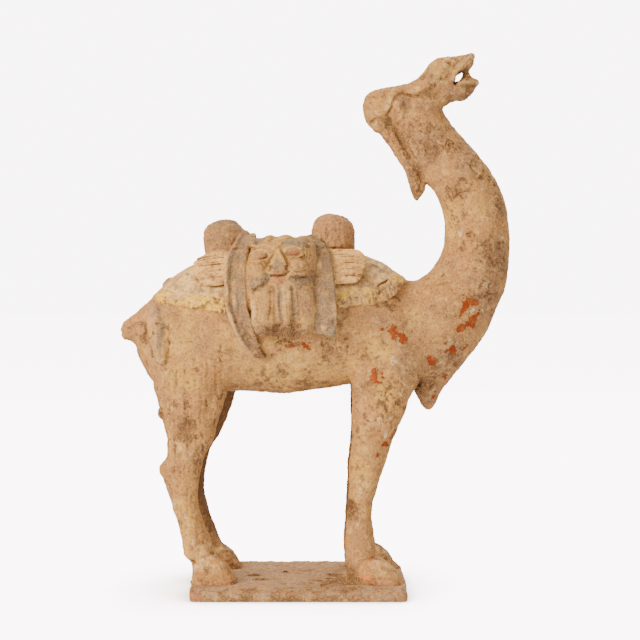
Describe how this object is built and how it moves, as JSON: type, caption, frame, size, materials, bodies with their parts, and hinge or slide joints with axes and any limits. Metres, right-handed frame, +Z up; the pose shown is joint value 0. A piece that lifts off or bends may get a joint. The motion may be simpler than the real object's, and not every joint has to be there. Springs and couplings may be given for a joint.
{
  "type": "pottery camel figure",
  "caption": "Standing two-humped camel in painted earthenware, head thrown back, with a saddle cloth, pack boards and a pair of face-fronted saddle bags, on a thin slab.",
  "frame": {"origin": "centre of the slab's flat underside", "axes": "+Z up, +X towards the head, -Y towards the side whose tail strand shows"},
  "size_m": [0.3127, 0.1224, 0.4295],
  "materials": {
    "fired_clay": "matt fired clay with worn white slip, blue-grey and orange-red pigment and burial soil"
  },
  "bodies": {
    "root": {"camel_figure": "fired_clay"}
  },
  "joints": []
}
